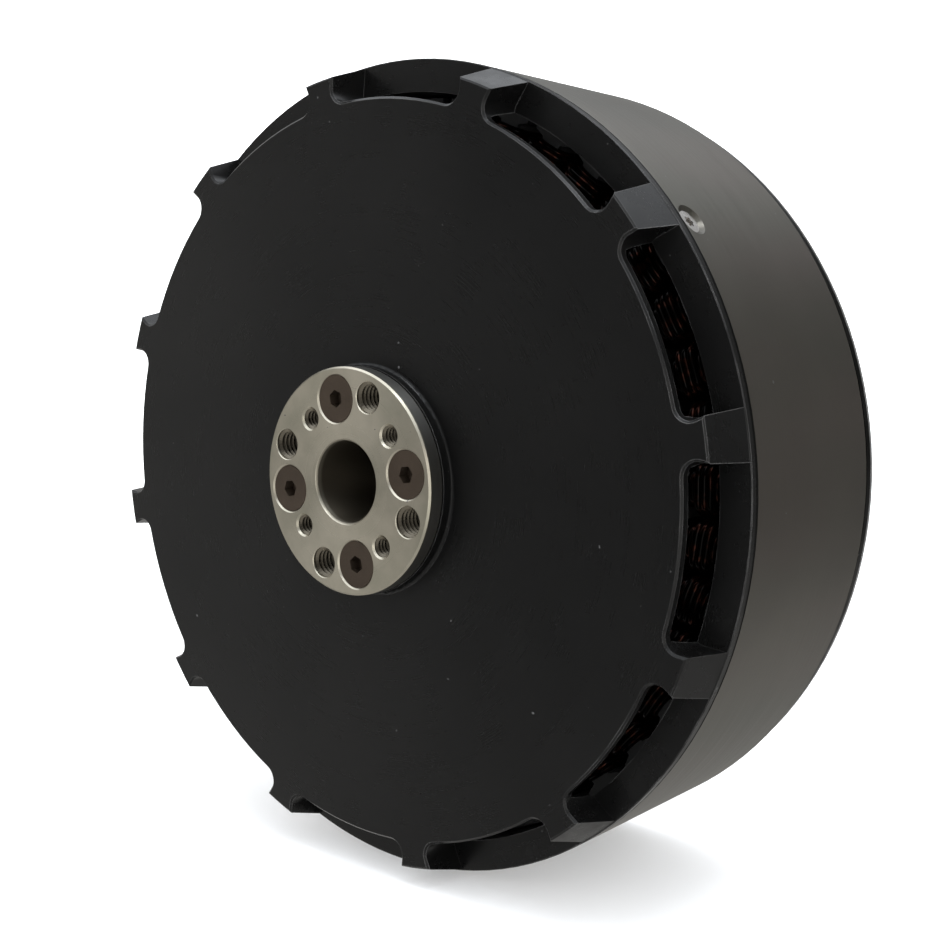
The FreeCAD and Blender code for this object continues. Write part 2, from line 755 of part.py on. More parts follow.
def housing_rings():
    washer = new_body("preload_body")
    tube(washer, "preload_ring", "size.tube_bore", "size.bearing_radius",
         "size.rear_bearing - size.preload_sheet", "size.rear_bearing")
    finish(washer, "preload_washer")
    clip = new_body("housing_clip_body")
    start = "size.rear_bearing + size.bearing_width"
    end = f"{start} + size.clip_sheet"
    revolve(clip, "housing_clip_ring",
            [("size.housing_clip_bore", start), ("size.housing_groove", start),
             ("size.housing_groove", end), ("size.housing_clip_bore", end)], "size.clip_arc")
    finish(clip, "housing_circlip")


# ---- stator -----------------------------------------------------------------------

def draw_slot(sketch):
    """Draw one winding slot, between two parallel-sided teeth, open at the air gap."""
    half_pitch = "180deg / size.tooth_count"
    side = f"tan({half_pitch}) - size.tooth_width / 2 / cos({half_pitch})"
    top = f"size.slot_top * {side}"
    bottom = f"size.slot_bottom * {side}"
    gap = "size.slot_gap / 2"
    draw_polygon(sketch, [
        ("size.core_radius + size.overrun", f"-{gap}"),
        ("size.core_radius + size.overrun", gap),
        ("size.shoe_depth", gap), ("size.slot_top", top),
        ("size.slot_bottom", bottom), ("size.slot_bottom", f"-({bottom})"),
        ("size.slot_top", f"-({top})"), ("size.shoe_depth", f"-{gap}"),
    ])


def toothed_plate(label, start, end):
    """A disc with winding slots: the core, or the insulator on one of its ends."""
    body = new_body(f"{label}_body")
    tube(body, f"{label}_ring", "size.core_bore", "size.core_radius", start, end)
    through_cut(body, f"{label}_slots", draw_slot, f"{start} - size.overrun",
                f"{end} + size.overrun", "size.tooth_count")
    finish(body, label, size("tooth_turn") + 180.0 / size("tooth_count"))


def rounded_block(width, start, end, corner):
    """A bar along the radius, from the coil's inner to its outer radius."""
    inner, outer = size("coil_inner_radius"), size("coil_outer_radius")
    block = Part.makeBox(outer - inner, end - start, width, Vector(inner, start, -width / 2))
    edges = [edge for edge in block.Edges
             if edge.BoundBox.XLength > outer - inner - EDGE_MATCH]
    return block.makeFillet(corner, edges)


def coils():
    """Each phase winds two runs of seven neighbouring teeth, opposite each other."""
    outside = rounded_block(size("coil_width"), size("coil_start"), size("coil_end"),
                            size("coil_corner"))
    clear = size("insulator") + size("coil_clearance")
    inside = rounded_block(size("coil_window"), size("core_start") - clear,
                           size("core_end") + clear, size("coil_inner_corner"))
    coil = outside.cut(inside)
    teeth = int(size("tooth_count"))
    run = teeth // int(size("winding_runs"))
    places = ring_of(coil, teeth)
    for phase, name in enumerate(("phase_u_coils", "phase_v_coils", "phase_w_coils")):
        first = phase * run
        second = first + teeth // 2
        group(name, places[first:first + run] + places[second:second + run], size("tooth_turn"))


def stator_frame():
    body = new_body("frame_body")
    seat_end = "size.front_bearing + size.bearing_width"
    groove = "size.rear_bearing + size.bearing_width"
    groove_end = f"{groove} + size.clip_sheet + size.clip_play"
    revolve(body, "frame_blank", [
        ("size.bearing_radius", "size.front_bearing"),
        ("size.tube_head_radius", "size.front_bearing"),
        ("size.tube_head_radius", "size.tube_head_end"),
        ("size.tube_radius", "size.tube_head_end + size.tube_head_taper"),
        ("size.tube_radius", "size.frame_web_start"),
        ("size.frame_rim_bore", "size.frame_web_start"),
        ("size.frame_rim_bore", "size.frame_rim_start"),
        ("size.core_bore", "size.frame_rim_start"),
        ("size.core_bore", "size.frame_rim_end"),
        ("size.frame_rim_bore", "size.frame_rim_end"),
        ("size.frame_rim_bore", "size.frame_web_end"),
        ("size.foot_neck_radius", "size.frame_web_end"),
        ("size.foot_neck_radius", "size.foot_start - size.foot_flare"),
        ("size.foot_radius", "size.foot_start"),
        ("size.foot_radius", "size.base_start"),
        ("size.bearing_radius", "size.base_start"),
        ("size.bearing_radius", groove_end),
        ("size.housing_groove", groove_end),
        ("size.housing_groove", groove),
        ("size.bearing_radius", groove),
        ("size.bearing_radius", "size.rear_bearing - size.preload_sheet"),
        ("size.tube_bore", "size.rear_bearing - size.preload_sheet"),
        ("size.tube_bore", seat_end),
        ("size.bearing_radius", seat_end),
    ])
    sketch = new_sketch(body, "XY_Plane", "spoke_gap_outline")
    near, far = "size.frame_web_start - size.overrun", "size.frame_web_end + size.overrun"
    draw_polygon(sketch, [("size.frame_window_inner", near), ("size.frame_window_outer", near),
                          ("size.frame_window_outer", far), ("size.frame_window_inner", far)])
    gap = body.newObject("PartDesign::Groove", "spoke_gap_one")
    gap.Profile = sketch
    gap.ReferenceAxis = (sketch, ["V_Axis"])
    gap.Midplane = True
    gap.setExpression("Angle", "size.frame_window_arc")
    repeat(body, "spoke_gaps", gap, "size.spoke_count")
    drill(body, "retainer_taps", "size.retainer_screw_circle",
          [("size.retainer_screw_shank", "size.front_bearing - size.overrun"),
           ("size.retainer_screw_shank", "size.retainer_screw_tip + size.tap_runout")],
          "size.retainer_screw_count")
    drill(body, "base_taps", "size.base_screw_circle",
          [("size.base_screw_shank", "size.base_screw_tip - size.tap_runout"),
           ("size.base_screw_shank", "size.base_start + size.overrun")],
          "size.base_screw_count")
    finish(body, "stator_frame")


def bearing_retainer():
    body = new_body("retainer_body")
    tube(body, "retainer_ring", "size.retainer_bore", "size.tube_head_radius",
         "size.retainer_start", "size.front_bearing")
    drill(body, "retainer_sinks", "size.retainer_screw_circle",
          sunk_hole("retainer_screw", "size.retainer_start",
                    "size.front_bearing + size.overrun"), "size.retainer_screw_count")
    finish(body, "bearing_retainer")


def retainer_screws():
    top = size("retainer_start") + size("retainer_screw_inset")
    recess = hexagon_tool(size("retainer_screw_socket"), top - size("overrun"),
                          top + size("retainer_screw_socket_depth"))
    screw = sunk_screw("retainer_screw", top, size("retainer_screw_tip"), recess)
    screw.translate(Vector(size("retainer_screw_circle"), 0, 0))
    group("retainer_screws", ring_of(screw, int(size("retainer_screw_count"))))


def draw_vent(sketch):
    draw_stadium(sketch, "vent_circle", "vent_half_width", "vent_half_length")


def base_plate():
    body = new_body("base_body")
    revolve(body, "base_blank", [
        ("size.base_bore", "size.base_start"),
        ("size.rib_inner", "size.base_start"),
        ("size.rib_inner", "size.rib_start"),
        ("size.rib_outer", "size.rib_start"),
        ("size.rib_outer + size.rib_taper", "size.base_start"),
        ("size.base_radius - size.base_chamfer", "size.base_start"),
        ("size.base_radius", "size.base_start + size.base_chamfer"),
        ("size.base_radius", "size.base_rim_end - size.base_chamfer"),
        ("size.base_radius - size.base_chamfer", "size.base_rim_end"),
        ("size.pad_radius + size.mount_depth - size.base_rim_end", "size.base_rim_end"),
        ("size.pad_radius", "size.mount_depth"),
        ("size.base_bore", "size.mount_depth"),
    ])
    through_cut(body, "vents", draw_vent, "size.base_start - size.overrun", "size.mount_depth",
                "size.vent_count")
    drill(body, "mount_holes", "size.mount_circle",
          [("size.mount_hole", "size.rib_start - size.overrun"),
           ("size.mount_hole", "size.mount_depth - size.mount_mouth + size.mount_hole"),
           ("size.mount_mouth + size.overrun", "size.mount_depth + size.overrun")],
          "size.mount_count", size("mount_turn"))
    drill(body, "base_screw_sinks", "size.base_screw_circle",
          sunk_hole("base_screw", "size.mount_depth", "size.base_start - size.overrun", "-"),
          "size.base_screw_count")
    finish(body, "base_plate")


def base_screws():
    top = size("mount_depth") - size("base_screw_inset")
    recess = hexagon_tool(size("base_screw_socket"), top - size("base_screw_socket_depth"),
                          top + size("overrun"))
    screw = sunk_screw("base_screw", top, size("base_screw_tip"), recess)
    screw.translate(Vector(size("base_screw_circle"), 0, 0))
    group("base_screws", ring_of(screw, int(size("base_screw_count"))))


def stadium_solid(grow, start, end):
    """The vent's outline grown all round and given a thickness."""
    radius = size("vent_half_width") + grow
    reach = size("vent_half_length")
    thickness = end - start
    middle = size("vent_circle")
    along = Vector(0, 1, 0)
    bar = Part.makeBox(2 * radius, thickness, 2 * reach, Vector(middle - radius, start, -reach))
    for side in (-reach, reach):
        bar = bar.fuse(Part.makeCylinder(radius, thickness, Vector(middle, start, side), along))
    return bar.removeSplitter()


def lead_grommet():
    """The rubber bush that the three phase leads pass through."""
    inner_lip = size("base_start") - size("grommet_lip_sheet")
    outer_lip = size("base_rim_end") + size("grommet_lip_sheet")
    bush = stadium_solid(0.0, size("base_start"), size("base_rim_end"))
    for start, end in ((inner_lip, size("base_start")), (size("base_rim_end"), outer_lip)):
        bush = bush.fuse(stadium_solid(size("grommet_lip"), start, end))
    bush = bush.removeSplitter()
    for step in (-1, 0, 1):
        place = Vector(size("vent_circle"), inner_lip, step * size("lead_pitch"))
        bush = bush.cut(Part.makeCylinder(size("lead_radius"), outer_lip - inner_lip,
                                          place, Vector(0, 1, 0)))
    bush.rotate(Vector(0, 0, 0), Vector(0, -1, 0), size("grommet_turn"))
    group("lead_grommet", bush.Solids)


# ---- build, check and write -------------------------------------------------------

def build():
    front_bell()
    flux_ring()
    magnets()
    output_hub()
    hub_screws()
    ring_screws()
    shaft_rings()
    bearings()
    housing_rings()
    toothed_plate("stator_core", "size.core_start", "size.core_end")
    toothed_plate("front_insulator", "size.core_start - size.insulator", "size.core_start")
    toothed_plate("rear_insulator", "size.core_end", "size.core_end + size.insulator")
    coils()
    stator_frame()
    bearing_retainer()
    retainer_screws()
    base_plate()
    base_screws()
    lead_grommet()
    doc.recompute()


def check():
    for item in doc.Objects:
        if "Invalid" in item.State or "Error" in item.State:
            raise RuntimeError(f"{item.Name} failed: {item.State}")
        if item.TypeId == "Sketcher::SketchObject" and not item.FullyConstrained:
            raise RuntimeError(f"{item.Name} is not fully constrained")
    for part in nodes:
        if part.Shape.isNull() or not part.Shape.isValid() or not part.Shape.Solids:
            raise RuntimeError(f"{part.Label} has no valid solid")


def write():
    os.makedirs("parts", exist_ok=True)
    for part in nodes:
        part.Shape.exportStep(f"parts/{part.Label}.step")
        print(part.Label, len(part.Shape.Solids), round(part.Shape.Volume, 1))


build()
check()
write()
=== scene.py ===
"""Looks of a brushless outrunner motor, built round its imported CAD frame. Metres, +Z up.

The shaft lies along Y: the output hub looks towards -Y and the mounting face towards +Y.
"""

import json
import math

import bmesh
import bpy
from mathutils import Matrix, Vector


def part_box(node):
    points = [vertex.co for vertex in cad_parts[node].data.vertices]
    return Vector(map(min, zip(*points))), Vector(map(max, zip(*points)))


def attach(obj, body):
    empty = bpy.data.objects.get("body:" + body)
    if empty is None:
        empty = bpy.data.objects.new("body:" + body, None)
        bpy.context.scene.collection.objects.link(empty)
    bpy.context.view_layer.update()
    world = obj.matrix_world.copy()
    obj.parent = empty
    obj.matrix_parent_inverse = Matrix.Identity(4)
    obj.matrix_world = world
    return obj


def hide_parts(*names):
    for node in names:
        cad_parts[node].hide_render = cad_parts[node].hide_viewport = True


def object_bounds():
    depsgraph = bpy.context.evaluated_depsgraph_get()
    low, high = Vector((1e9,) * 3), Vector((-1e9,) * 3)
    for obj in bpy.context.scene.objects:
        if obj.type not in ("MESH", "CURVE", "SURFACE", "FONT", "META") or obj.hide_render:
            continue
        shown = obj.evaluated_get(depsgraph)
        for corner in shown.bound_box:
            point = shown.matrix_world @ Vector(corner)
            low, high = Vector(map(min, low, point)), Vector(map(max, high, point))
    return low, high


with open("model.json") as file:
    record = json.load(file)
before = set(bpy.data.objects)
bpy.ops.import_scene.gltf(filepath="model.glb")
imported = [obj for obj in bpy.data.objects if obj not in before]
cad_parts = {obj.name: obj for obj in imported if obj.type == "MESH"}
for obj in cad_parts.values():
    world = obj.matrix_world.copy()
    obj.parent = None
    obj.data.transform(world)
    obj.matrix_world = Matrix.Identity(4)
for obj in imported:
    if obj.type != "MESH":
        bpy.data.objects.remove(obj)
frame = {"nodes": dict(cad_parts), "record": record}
cad_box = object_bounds()
scene = bpy.context.scene
MM = 0.001


# ---- reading the frame ------------------------------------------------------------

def radii(node):
    """The least and greatest distance of a CAD node's points from the shaft axis."""
    found = [math.hypot(v.co.x, v.co.z) for v in frame["nodes"][node].data.vertices]
    return min(found), max(found)


def depths(node):
    """Where a CAD node starts and ends along the shaft."""
    low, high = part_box(node)
    return low.y, high.y


def rim_end():
    """How far back the mounting plate's widest edge reaches along the shaft."""
    points = [v.co for v in frame["nodes"]["base_plate"].data.vertices]
    widest = radii("base_plate")[1]
    return max(p.y for p in points if math.hypot(p.x, p.z) > widest - 0.1 * MM)


def mount(name):
    return next(m for m in frame["record"]["mounts"] if m["name"] == name)


# ---- node helpers -----------------------------------------------------------------

COLOUR_A, COLOUR_B, COLOUR_OUT = 6, 7, 2    # a Mix node's sockets when it mixes colours
ACROSS = 0.25                               # a quarter turn of the shader's tangent


class Recipe:
    """A material, with short ways to add and join its nodes."""

    def __init__(self, name):
        self.material = bpy.data.materials.new(name)
        self.material.use_nodes = True
        self.tree = self.material.node_tree
        self.shader = self.tree.nodes["Principled BSDF"]
        place = self.add("ShaderNodeTexCoord")
        self.place = place.outputs["Object"]
        parts = self.add("ShaderNodeSeparateXYZ")
        self.join(self.place, parts.inputs[0])
        self.x, self.y, self.z = parts.outputs
        self.radius = self.math("SQRT", self.math(
            "ADD", self.math("MULTIPLY", self.x, self.x), self.math("MULTIPLY", self.z, self.z)))
        self.height = None

    def add(self, kind, **settings):
        node = self.tree.nodes.new(kind)
        for key, value in settings.items():
            setattr(node, key, value)
        return node

    def join(self, source, target):
        self.tree.links.new(source, target)

    def feed(self, value, socket):
        """Give a socket a number or colour, or join it to another socket."""
        if isinstance(value, bpy.types.NodeSocket):
            self.join(value, socket)
        else:
            socket.default_value = value

    def math(self, operation, first, second=0.0):
        node = self.add("ShaderNodeMath", operation=operation)
        for value, socket in zip((first, second), node.inputs):
            self.feed(value, socket)
        return node.outputs[0]

    def vector(self, x, y, z):
        node = self.add("ShaderNodeCombineXYZ")
        for value, socket in zip((x, y, z), node.inputs):
            self.feed(value, socket)
        return node.outputs[0]

    def noise(self, scale, detail=2.0, place=None, roughness=0.5):
        node = self.add("ShaderNodeTexNoise")
        self.join(place or self.place, node.inputs["Vector"])
        node.inputs["Scale"].default_value = scale
        node.inputs["Detail"].default_value = detail
        node.inputs["Roughness"].default_value = roughness
        return node.outputs["Fac"]

    def span(self, value, low, high, to_low=0.0, to_high=1.0):
        """Map low..high to to_low..to_high, and hold it there outside."""
        node = self.add("ShaderNodeMapRange")
        for number, socket in zip((value, low, high, to_low, to_high), node.inputs):
            self.feed(number, socket)
        return node.outputs[0]

    def mix(self, share, first, second):
        node = self.add("ShaderNodeMix", data_type="RGBA")
        self.feed(share, node.inputs["Factor"])
        self.feed(first, node.inputs[COLOUR_A])
        self.feed(second, node.inputs[COLOUR_B])
        return node.outputs[COLOUR_OUT]

    def bump(self, height, distance):
        """Add a layer of relief: distance is its height in metres."""
        node = self.add("ShaderNodeBump")
        node.inputs["Strength"].default_value = 1.0
        node.inputs["Distance"].default_value = distance
        self.join(height, node.inputs["Height"])
        if self.height is not None:
            self.join(self.height, node.inputs["Normal"])
        self.height = node.outputs["Normal"]
        self.join(self.height, self.shader.inputs["Normal"])

    def set(self, **values):
        """Set or join the shader's sockets, written with _ for each space."""
        for key, value in values.items():
            self.feed(value, self.shader.inputs[key.replace("_", " ")])

    def stretched(self, across, along):
        """The place, scaled one way across the shaft axis and another along it."""
        return self.vector(self.math("MULTIPLY", self.x, across),
                           self.math("MULTIPLY", self.y, along),
                           self.math("MULTIPLY", self.z, across))

    def turned_place(self, pitch):
        """A place whose noise makes fine rings round the shaft axis."""
        return self.vector(self.math("DIVIDE", self.radius, pitch),
                           self.math("DIVIDE", self.y, pitch), 0.0)

    def turned_shine(self, amount):
        """Stretch highlights across the turning marks that run round the shaft axis."""
        tangent = self.add("ShaderNodeTangent", direction_type="RADIAL", axis="Y")
        self.join(tangent.outputs[0], self.shader.inputs["Tangent"])
        self.set(Anisotropic=amount, Anisotropic_Rotation=ACROSS)

    def worn_edges(self, reach):
        """1 where the surface turns a corner within a short reach, broken up by wear."""
        rounded = self.add("ShaderNodeBevel", samples=4)
        rounded.inputs["Radius"].default_value = reach
        flat = self.add("ShaderNodeNewGeometry")
        turn = self.add("ShaderNodeVectorMath", operation="DOT_PRODUCT")
        self.join(rounded.outputs[0], turn.inputs[0])
        self.join(flat.outputs["Normal"], turn.inputs[1])
        corner = self.span(turn.outputs["Value"], 0.985, 0.90)
        return self.math("MULTIPLY", corner, self.span(self.noise(95.0, 4.0), 0.42, 0.66, 0.12))

    def specks(self, scale, threshold):
        """A few small spots: 1 on a spot, 0 elsewhere."""
        return self.span(self.noise(scale, 1.0), threshold, threshold + 0.02)


def grey(level, warmth=0.0):
    return (level * (1 + warmth), level, level * (1 - warmth), 1.0)


# ---- materials --------------------------------------------------------------------

RING_OLIVE = (0.083, 0.083, 0.069, 1)
RING_PINK = (0.107, 0.092, 0.081, 1)
RING_PALE = (0.124, 0.117, 0.098, 1)
HUB_DARK = (0.45, 0.43, 0.35, 1)
HUB_PALE = (0.62, 0.575, 0.48, 1)
# Painted shade for the hub's bore and tapped holes.
HUB_HOLE_SHADE = (0.15, 0.13, 0.10, 1)
# Painted shade: the hub's outer side, darker than its face.
HUB_SIDE_SHADE = (0.25, 0.245, 0.23, 1)
# The threads' steel, painted darker as shade down the holes.
TAPPED_DARK = (0.16, 0.145, 0.115, 1)
TAPPED_PALE = (0.27, 0.24, 0.19, 1)
OXIDE_DARK = (0.046, 0.034, 0.024, 1)
OXIDE_PALE = (0.078, 0.057, 0.041, 1)
# Copper painted much darker than bare wire, as shade deep inside the motor.
COPPER_DARK = (0.022, 0.0065, 0.0040, 1)
COPPER_PALE = (0.052, 0.0165, 0.0100, 1)

BARE_METAL = 0.30           # how metallic worn and turned places are
EDGE_WEAR = 0.22 * MM       # how far wear reaches from an edge
FADE = 0.1 * MM             # how far a painted line takes to fade
SEAM_SHADE = 0.50 * MM      # how far a joint's painted shade reaches over the lip
SEAM_DEPTH = 0.9 * MM       # how far in from the rim the lines of painted shade reach
RIM_BARE = 0.8 * MM         # width of the bare edge on the mounting plate's rim
RIM_FACE = 0.4 * MM         # how far the bare edge reaches over the rim's rear face
LUG_DEPTH = 3.0 * MM        # radial depth of the lugs' bevels, which are more mottled
LUG_FADE = 2.0 * MM         # and how far inwards of them that fades
RING_EDGE_SHADE = 0.18 * MM      # the can's broken front edge, painted near-black as shade beside the joint
HUB_BREAK = 0.5 * MM        # the hub's broken front edge
HOLE_SHADE_START = 0.3 * MM        # where painted shade begins down a tapped hole
HOLE_SHADE_FULL = 1.6 * MM         # and where it covers the wall


def bare_rim(recipe):
    """How metallic the mounting plate's rim is: its rear edge is turned after anodising."""
    rim = radii("base_plate")[1]
    end = rim_end()
    along = recipe.span(recipe.y, end - RIM_BARE, end - RIM_BARE + FADE / 2, 0.0, BARE_METAL)
    across = recipe.span(recipe.radius, rim - RIM_FACE - FADE, rim - RIM_FACE)
    return recipe.math("MULTIPLY", along, across)


def unshaded_by_seams(recipe):
    """0 where the lines beside the joints round the can are painted dark as shade, 1 elsewhere."""
    seam, rear = depths("flux_ring")
    joint = recipe.math("ABSOLUTE", recipe.math("SUBTRACT", recipe.y, seam))
    front = recipe.span(joint, SEAM_SHADE, SEAM_SHADE + FADE)
    bare = rim_end() - RIM_BARE
    behind = recipe.math("MAXIMUM", recipe.span(recipe.y, rear, rear + FADE, 1.0, 0.0),
                         recipe.span(recipe.y, bare, bare + FADE))
    deep = radii("base_plate")[1] - SEAM_DEPTH
    inside = recipe.span(recipe.radius, deep - FADE, deep, 1.0, 0.0)
    return recipe.math("MAXIMUM", inside, recipe.math("MINIMUM", front, behind))


def black_anodised():
    recipe = Recipe("black_anodised")
    rings = recipe.noise(1.0, 3.0, recipe.turned_place(0.35 * MM))
    cloud = recipe.noise(28.0, 4.0)
    mottle = recipe.noise(150.0, 5.0, roughness=0.6)
    tone = recipe.mix(recipe.span(cloud, 0.3, 0.7), grey(0.0026), grey(0.0042, 0.03))
    tone = recipe.mix(recipe.span(rings, 0.45, 0.75, 0.0, 0.15), tone, grey(0.007, 0.03))
    tone = recipe.mix(recipe.specks(620.0, 0.80), tone, grey(0.06))
    unshaded = unshaded_by_seams(recipe)
    worn = recipe.math("MULTIPLY", recipe.worn_edges(EDGE_WEAR), unshaded)
    bare = recipe.math("MAXIMUM", recipe.math("MULTIPLY", worn, BARE_METAL), bare_rim(recipe))
    # Painted shade: near-black metal in the lines beside the joints round the can.
    shade = recipe.math("SUBTRACT", 1.0, unshaded)
    tone = recipe.mix(shade, tone, grey(0.001))
    recipe.set(Base_Color=recipe.mix(bare, tone, grey(0.40, 0.02)), IOR=1.5)
    recipe.set(Metallic=recipe.math("MAXIMUM", bare, shade))
    lugs = radii("front_bell")[1] - LUG_DEPTH
    swing = recipe.span(recipe.radius, lugs - LUG_FADE, lugs, 0.02, 0.09)
    spots = recipe.math("MULTIPLY", swing, recipe.span(mottle, 0.35, 0.65, -1.0, 1.0))
    recipe.set(Roughness=recipe.math("ADD", recipe.span(rings, 0.3, 0.7, 0.27, 0.31), spots))
    recipe.set(Specular_IOR_Level=0.22)
    recipe.turned_shine(0.5)
    recipe.bump(rings, 0.0003 * MM)
    recipe.bump(recipe.noise(2600.0, 1.0), 0.0007 * MM)
    return recipe.material


def brushed_ring():
    recipe = Recipe("brushed_ring")
    streaks = recipe.noise(1.0, 4.0, recipe.stretched(30.0, 5200.0))
    bands = recipe.noise(1.0, 3.0, recipe.stretched(42.0, 9.0))
    blotch = recipe.noise(34.0, 4.0)
    tone = recipe.mix(recipe.span(bands, 0.3, 0.7), RING_OLIVE, RING_PINK)
    tone = recipe.mix(recipe.span(blotch, 0.40, 0.75, 0.0, 0.5), tone, RING_PALE)
    tone = recipe.mix(recipe.span(streaks, 0.35, 0.65, 0.0, 0.30), tone, grey(0.14, 0.08))
    tone = recipe.mix(recipe.specks(520.0, 0.82), tone, grey(0.19))
    # Painted shade: the can's front edge at the joint is painted near-black.
    seam = depths("flux_ring")[0]
    joint = recipe.span(recipe.y, seam + RING_EDGE_SHADE, seam + RING_EDGE_SHADE + 0.6 * FADE)
    recipe.set(Base_Color=recipe.mix(joint, grey(0.004), tone), Metallic=0.9, IOR=1.5)
    recipe.set(Roughness=recipe.span(streaks, 0.3, 0.7, 0.30, 0.42))
    recipe.turned_shine(0.45)
    recipe.bump(streaks, 0.003 * MM)
    return recipe.material


def bored_wall(recipe):
    """1 on the wall of the hub's bore."""
    bore = mount("hub_bore")["dims"]["r_mm"] * MM
    return recipe.span(recipe.radius, bore + 3 * FADE, bore + FADE)


def tapped_wall(recipe):
    """1 down the hub's holes, where the steel is painted darker as shade."""
    face = depths("output_hub")[0]
    hub = radii("output_hub")[1]
    return recipe.math("MULTIPLY", recipe.span(recipe.y, face + HOLE_SHADE_START, face + HOLE_SHADE_FULL),
                       recipe.span(recipe.radius, hub - 5 * FADE, hub - 9 * FADE))


def hub_side(recipe):
    """1 round the outside of the hub, behind its broken edge."""
    face = depths("output_hub")[0] + HUB_BREAK
    hub = radii("output_hub")[1]
    return recipe.math("MULTIPLY", recipe.span(recipe.radius, hub - 2.5 * FADE, hub - 1.5 * FADE),
                       recipe.span(recipe.y, face, face + 2 * FADE))


def hub_steel():
    recipe = Recipe("hub_steel")
    rings = recipe.noise(1.0, 3.0, recipe.turned_place(0.16 * MM))
    cloud = recipe.noise(75.0, 5.0, roughness=0.6)
    bored = bored_wall(recipe)
    side = hub_side(recipe)
    hole_shade = recipe.math("MAXIMUM", recipe.math("MULTIPLY", bored, 0.5), tapped_wall(recipe))
    tone = recipe.mix(recipe.span(cloud, 0.35, 0.65), HUB_DARK, HUB_PALE)
    tone = recipe.mix(recipe.specks(600.0, 0.79), tone, grey(0.18))
    # Painted shade down the bore and the tapped holes.
    tone = recipe.mix(hole_shade, tone, HUB_HOLE_SHADE)
    # Painted shade on the hub's outer side.
    recipe.set(Base_Color=recipe.mix(side, tone, HUB_SIDE_SHADE), Metallic=1.0)
    rougher = recipe.math("ADD", recipe.math("MULTIPLY", bored, 0.14),
                          recipe.math("MULTIPLY", side, 0.05))
    recipe.set(Roughness=recipe.math("ADD", recipe.span(rings, 0.3, 0.7, 0.27, 0.37), rougher))
    recipe.turned_shine(0.7)
    recipe.bump(rings, 0.002 * MM)
    return recipe.material


def tapped_steel():
    """The hub's steel as a tap leaves it, without turning marks, and painted darker as shade down
    the holes.
    """
    recipe = Recipe("tapped_steel")
    cloud = recipe.noise(700.0, 3.0)
    recipe.set(Base_Color=recipe.mix(cloud, TAPPED_DARK, TAPPED_PALE))
    recipe.set(Metallic=1.0, Roughness=recipe.span(cloud, 0.3, 0.7, 0.24, 0.36))
    recipe.bump(cloud, 0.004 * MM)
    return recipe.material


def black_oxide():
    recipe = Recipe("black_oxide")
    grain = recipe.noise(1800.0, 2.0)
    cloud = recipe.noise(180.0, 3.0)
    recipe.set(Base_Color=recipe.mix(cloud, OXIDE_DARK, OXIDE_PALE))
    recipe.set(Metallic=0.75, Roughness=recipe.span(grain, 0.3, 0.7, 0.42, 0.55))
    recipe.bump(grain, 0.006 * MM)
    return recipe.material


def bright_steel(name, level, warmth, low, high):
    """Ground, plated or stainless steel with faint handling marks."""
    recipe = Recipe(name)
    marks = recipe.noise(420.0, 5.0, roughness=0.65)
    tone = recipe.mix(marks, grey(level * 0.88, warmth), grey(level, warmth))
    recipe.set(Base_Color=tone, Metallic=1.0, Roughness=recipe.span(marks, 0.3, 0.7, low, high))
    recipe.bump(marks, 0.004 * MM)
    return recipe.material


def enamelled_copper():
    """Reddish enamelled wire, painted much darker as shade, with near-black patches of painted
    shade that leave only short bright lengths.
    """
    recipe = Recipe("enamelled_copper")
    cloud = recipe.noise(260.0, 3.0)
    # Near-black patches of painted shade break the wire's glints into short lengths.
    shade_patches = recipe.span(recipe.noise(520.0, 2.0), 0.50, 0.62)
    tone = recipe.mix(cloud, COPPER_DARK, COPPER_PALE)
    recipe.set(Base_Color=recipe.mix(shade_patches, grey(0.003, 0.1), tone), Metallic=0.9)
    recipe.set(Roughness=recipe.span(cloud, 0.3, 0.7, 0.12, 0.22))
    recipe.set(Specular_IOR_Level=0.3, Coat_Weight=0.02, Coat_Roughness=0.06)
    recipe.bump(cloud, 0.01 * MM)
    return recipe.material


def lamination_steel():
    """A stack of thin sheets under black varnish."""
    recipe = Recipe("lamination_steel")
    sheets = recipe.math("FRACT", recipe.math("DIVIDE", recipe.y, 0.35 * MM))
    ridge = recipe.span(recipe.math("ABSOLUTE", recipe.math("SUBTRACT", sheets, 0.5)), 0.32, 0.5)
    cloud = recipe.noise(150.0, 3.0)
    recipe.set(Base_Color=recipe.mix(ridge, grey(0.05, 0.03), grey(0.012)), Metallic=0.3)
    recipe.set(Roughness=recipe.span(cloud, 0.3, 0.7, 0.38, 0.55))
    recipe.bump(ridge, -0.03 * MM)
    return recipe.material


def moulded(name, level, warmth, rough, grain):
    """Moulded plastic or rubber with a fine matt grain."""
    recipe = Recipe(name)
    fine = recipe.noise(grain, 3.0)
    cloud = recipe.noise(90.0, 3.0)
    recipe.set(Base_Color=recipe.mix(cloud, grey(level * 0.8, warmth), grey(level * 1.2, warmth)))
    recipe.set(Roughness=recipe.span(fine, 0.3, 0.7, rough - 0.08, rough + 0.08), IOR=1.47)
    recipe.bump(fine, 0.02 * MM)
    return recipe.material


def bare_aluminium():
    recipe = Recipe("bare_aluminium")
    rings = recipe.noise(1.0, 3.0, recipe.turned_place(0.5 * MM))
    cloud = recipe.noise(70.0, 3.0)
    recipe.set(Base_Color=recipe.mix(cloud, grey(0.50), grey(0.62)), Metallic=1.0)
    recipe.set(Roughness=recipe.span(rings, 0.3, 0.7, 0.30, 0.44))
    recipe.bump(rings, 0.008 * MM)
    return recipe.material


